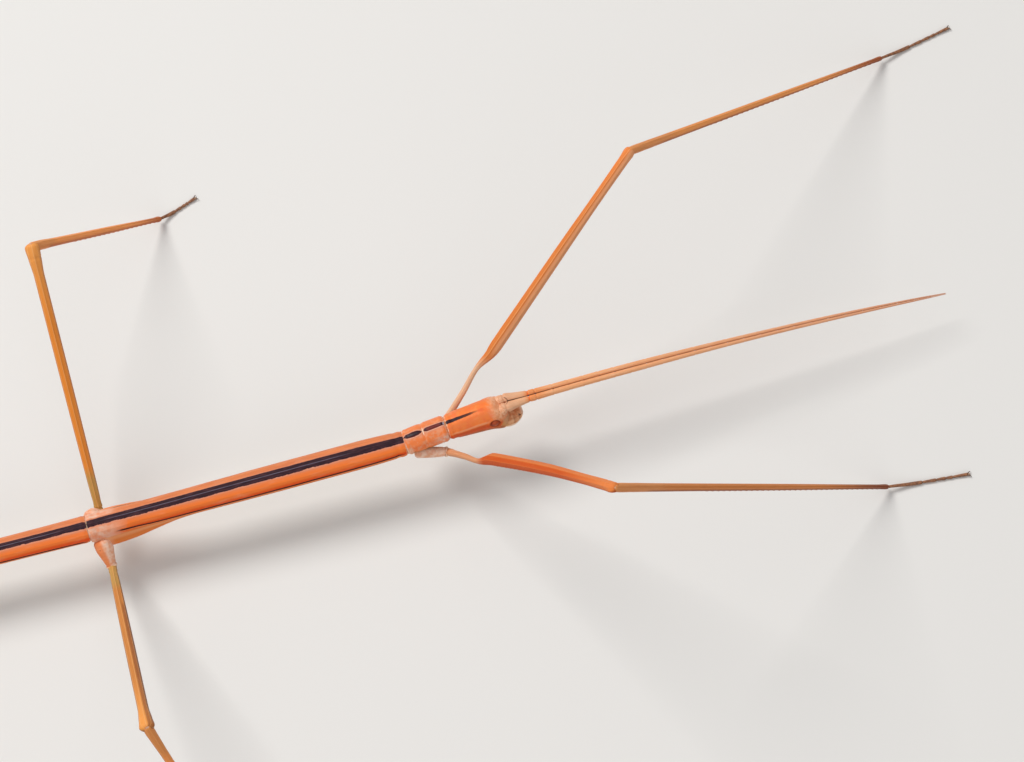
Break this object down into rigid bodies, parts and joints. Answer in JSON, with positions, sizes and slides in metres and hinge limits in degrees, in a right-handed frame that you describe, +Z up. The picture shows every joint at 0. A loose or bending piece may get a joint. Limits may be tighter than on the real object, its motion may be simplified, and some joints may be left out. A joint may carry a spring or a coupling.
{
  "type": "giant stick insect",
  "caption": "Life-size still model of a giant grass-mimicking stick insect, slender and wingless, standing on six long legs with its feelers held together ahead.",
  "frame": {"origin": "on the floor under the middle of the insect's outline", "axes": "+X to the head and feelers, +Y to the insect's left, +Z up"},
  "size_m": [0.2634, 0.1006, 0.042],
  "materials": {
    "body_cuticle": "satin orange cuticle with a black stripe along the back",
    "limb_cuticle": "satin straw-coloured cuticle, ridged lengthwise",
    "foot_cuticle": "matt grey-brown cuticle",
    "joint_skin": "matt pale skin and soft cuticle",
    "feeler_cuticle": "satin peach-orange cuticle",
    "eye": "glossy dark maroon, finely faceted"
  },
  "bodies": {
    "root": {"head": "body_cuticle", "prothorax": "body_cuticle", "mesothorax": "body_cuticle", "metathorax": "body_cuticle", "abdomen_02": "body_cuticle", "abdomen_03": "body_cuticle", "abdomen_04": "body_cuticle", "abdomen_05": "body_cuticle", "abdomen_06": "body_cuticle", "abdomen_07": "body_cuticle", "abdomen_08": "body_cuticle", "abdomen_09": "body_cuticle", "abdomen_10": "body_cuticle", "operculum": "body_cuticle", "mouthparts": "joint_skin", "eye_left": "eye", "eye_right": "eye", "antenna_left": "feeler_cuticle", "antenna_right": "feeler_cuticle", "cercus_left": "limb_cuticle", "cercus_right": "limb_cuticle", "coxa_fore_left": "joint_skin", "femur_fore_left": "limb_cuticle", "tibia_fore_left": "limb_cuticle", "tarsus_fore_left": "foot_cuticle", "coxa_fore_right": "joint_skin", "femur_fore_right": "limb_cuticle", "tibia_fore_right": "limb_cuticle", "tarsus_fore_right": "foot_cuticle", "coxa_mid_left": "joint_skin", "femur_mid_left": "limb_cuticle", "tibia_mid_left": "limb_cuticle", "tarsus_mid_left": "foot_cuticle", "coxa_mid_right": "joint_skin", "femur_mid_right": "limb_cuticle", "tibia_mid_right": "limb_cuticle", "tarsus_mid_right": "foot_cuticle", "coxa_hind_left": "joint_skin", "femur_hind_left": "limb_cuticle", "tibia_hind_left": "limb_cuticle", "tarsus_hind_left": "foot_cuticle", "coxa_hind_right": "joint_skin", "femur_hind_right": "limb_cuticle", "tibia_hind_right": "limb_cuticle", "tarsus_hind_right": "foot_cuticle"}
  },
  "joints": []
}
